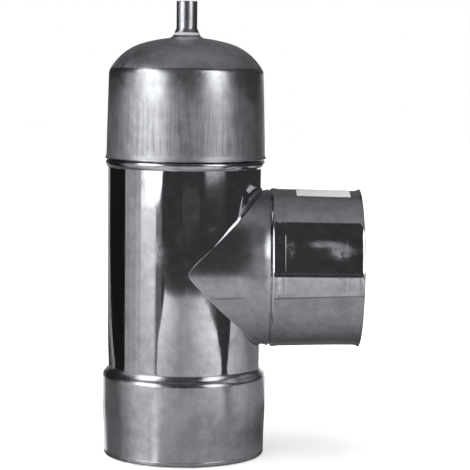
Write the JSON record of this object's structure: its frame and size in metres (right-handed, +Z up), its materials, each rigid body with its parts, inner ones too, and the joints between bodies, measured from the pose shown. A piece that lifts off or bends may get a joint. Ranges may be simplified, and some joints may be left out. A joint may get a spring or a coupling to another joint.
{
  "type": "stove pipe tee",
  "caption": "Single wall stainless stove pipe tee with a socket, a side branch and a pull-off condensate cap with a drain tube.",
  "frame": {"origin": "centre of the mouth of the run socket, on the plane it stands on", "axes": "+Z up the run axis towards the drain tube, +X along the branch towards its mouth"},
  "size_m": [0.199, 0.1272, 0.3515],
  "materials": {
    "polished_sheet": "bright annealed stainless sheet, mirror-like with fine drawing marks",
    "drawn_sheet": "pressed stainless sheet, satin with vertical draw marks",
    "turned_tube": "bright stainless tube",
    "label_paper": "plain white coated paper"
  },
  "bodies": {
    "pipe": {"run_pipe": "polished_sheet", "branch_pipe": "polished_sheet", "label": "label_paper"},
    "cap": {"drain_cap": "drawn_sheet", "drain_spigot": "turned_tube"}
  },
  "joints": [
    {"name": "cap_pull", "type": "slide", "parent": "pipe", "child": "cap", "axis": [0, 0, 1], "range_m": [0, 0.06]}
  ]
}
